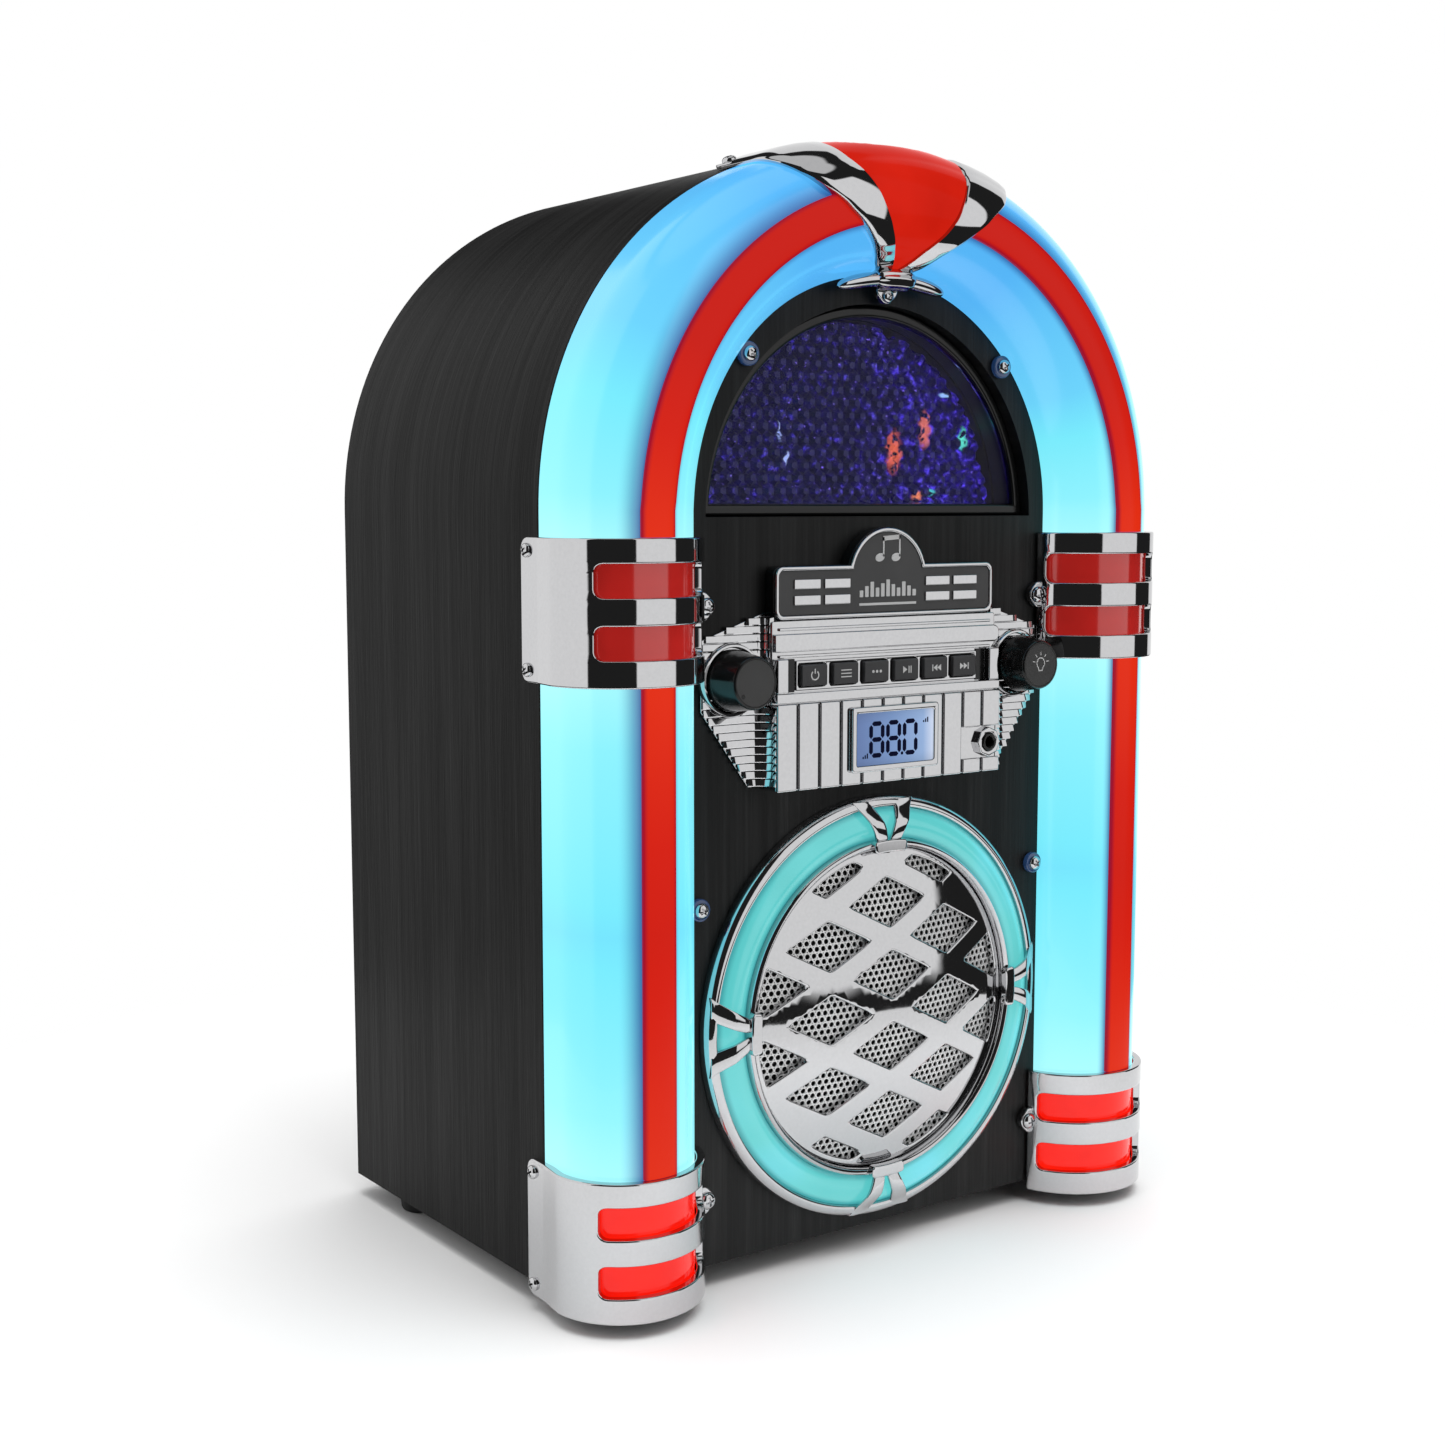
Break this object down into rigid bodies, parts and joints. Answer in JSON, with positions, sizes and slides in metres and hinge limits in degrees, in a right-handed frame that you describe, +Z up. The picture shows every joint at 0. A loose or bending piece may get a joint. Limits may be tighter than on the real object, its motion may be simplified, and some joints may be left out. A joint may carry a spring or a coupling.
{
  "type": "tabletop jukebox",
  "caption": "Tabletop jukebox with an arched wood-grain cabinet, lit tube surround, chromed cuffs, crown, control panel and a round lit loudspeaker grille.",
  "frame": {"origin": "bottom centre of the bounding box", "axes": "+X to the right seen from the front, the front faces -Y, +Z up"},
  "size_m": [0.2518, 0.181, 0.3736],
  "materials": {
    "veneer": "black wood-grain veneer, satin",
    "chrome": "chrome-plated plastic, mirror bright",
    "blue_lens": "translucent pale blue, lit from behind",
    "red_lens": "translucent red, lit from behind",
    "turquoise_lens": "translucent turquoise, lit from behind",
    "black_plastic": "moulded, gloss",
    "grey_plastic": "moulded, satin",
    "clear_lens": "clear, polished",
    "reflector": "prismatic, deep blue light",
    "display": "backlit liquid crystal",
    "rubber": "moulded",
    "steel": "plain",
    "circuit_board": "glass-epoxy with solder mask",
    "paper": "pressed pulp",
    "fibreboard": "painted fibreboard, matt"
  },
  "bodies": {
    "cabinet": {"arch_lens": "blue_lens", "arch_light_strip": "circuit_board", "arch_stripe": "red_lens", "aux_jack": "black_plastic", "cabinet_shell": "veneer", "column_lens_left": "blue_lens", "column_lens_right": "blue_lens", "column_light_strip_left": "circuit_board", "column_light_strip_right": "circuit_board", "column_stripe_left": "red_lens", "column_stripe_right": "red_lens", "control_board": "circuit_board", "control_panel": "chrome", "crown_frame": "chrome", "crown_wedge": "red_lens", "dc_inlet": "black_plastic", "foot_front_left": "rubber", "foot_front_right": "rubber", "foot_rear_left": "rubber", "foot_rear_right": "rubber", "front_panel": "veneer", "grille_mesh": "steel", "lcd_frame": "chrome", "lcd_module": "display", "legend_strip": "chrome", "lights_switch": "steel", "lower_cuff_left": "chrome", "lower_cuff_right": "chrome", "lower_insert_left": "red_lens", "lower_insert_right": "red_lens", "main_board": "circuit_board", "rear_panel": "fibreboard", "reflector": "reflector", "ring_light": "turquoise_lens", "sign_frame": "chrome", "sign_plate": "black_plastic", "speaker_basket": "steel", "speaker_cone": "paper", "speaker_grille": "chrome", "speaker_magnet": "steel", "speaker_ring": "chrome", "upper_cuff_left": "chrome", "upper_cuff_right": "chrome", "upper_insert_left": "red_lens", "upper_insert_right": "red_lens", "volume_potentiometer": "steel", "window_bezel": "black_plastic", "window_lens": "clear_lens", "window_light_board": "circuit_board"},
    "volume_control": {"volume_knob": "black_plastic", "volume_shaft": "steel"},
    "lights_control": {"lights_knob": "black_plastic", "lights_shaft": "steel"},
    "power_button": {"button_power": "grey_plastic"},
    "function_button": {"button_function": "grey_plastic"},
    "program_button": {"button_program": "grey_plastic"},
    "play_button": {"button_play": "grey_plastic"},
    "previous_button": {"button_previous": "grey_plastic"},
    "next_button": {"button_next": "grey_plastic"}
  },
  "joints": [
    {"name": "volume_turn", "type": "hinge", "parent": "cabinet", "child": "volume_control", "pos_m": [-0.062, -0.0767, 0.2002], "axis": [0, 1, 0], "range_deg": [0, 300]},
    {"name": "lights_push", "type": "slide", "parent": "cabinet", "child": "lights_control", "axis": [0, 1, 0], "range_m": [0, 0.0015], "stiffness_N_per_m": 600, "springref_m": -0.0005},
    {"name": "power_push", "type": "slide", "parent": "cabinet", "child": "power_button", "axis": [0, 1, 0], "range_m": [0, 0.0012], "stiffness_N_per_m": 400, "springref_m": -0.0005},
    {"name": "function_push", "type": "slide", "parent": "cabinet", "child": "function_button", "axis": [0, 1, 0], "range_m": [0, 0.0012], "stiffness_N_per_m": 400, "springref_m": -0.0005},
    {"name": "program_push", "type": "slide", "parent": "cabinet", "child": "program_button", "axis": [0, 1, 0], "range_m": [0, 0.0012], "stiffness_N_per_m": 400, "springref_m": -0.0005},
    {"name": "play_push", "type": "slide", "parent": "cabinet", "child": "play_button", "axis": [0, 1, 0], "range_m": [0, 0.0012], "stiffness_N_per_m": 400, "springref_m": -0.0005},
    {"name": "previous_push", "type": "slide", "parent": "cabinet", "child": "previous_button", "axis": [0, 1, 0], "range_m": [0, 0.0012], "stiffness_N_per_m": 400, "springref_m": -0.0005},
    {"name": "next_push", "type": "slide", "parent": "cabinet", "child": "next_button", "axis": [0, 1, 0], "range_m": [0, 0.0012], "stiffness_N_per_m": 400, "springref_m": -0.0005}
  ]
}
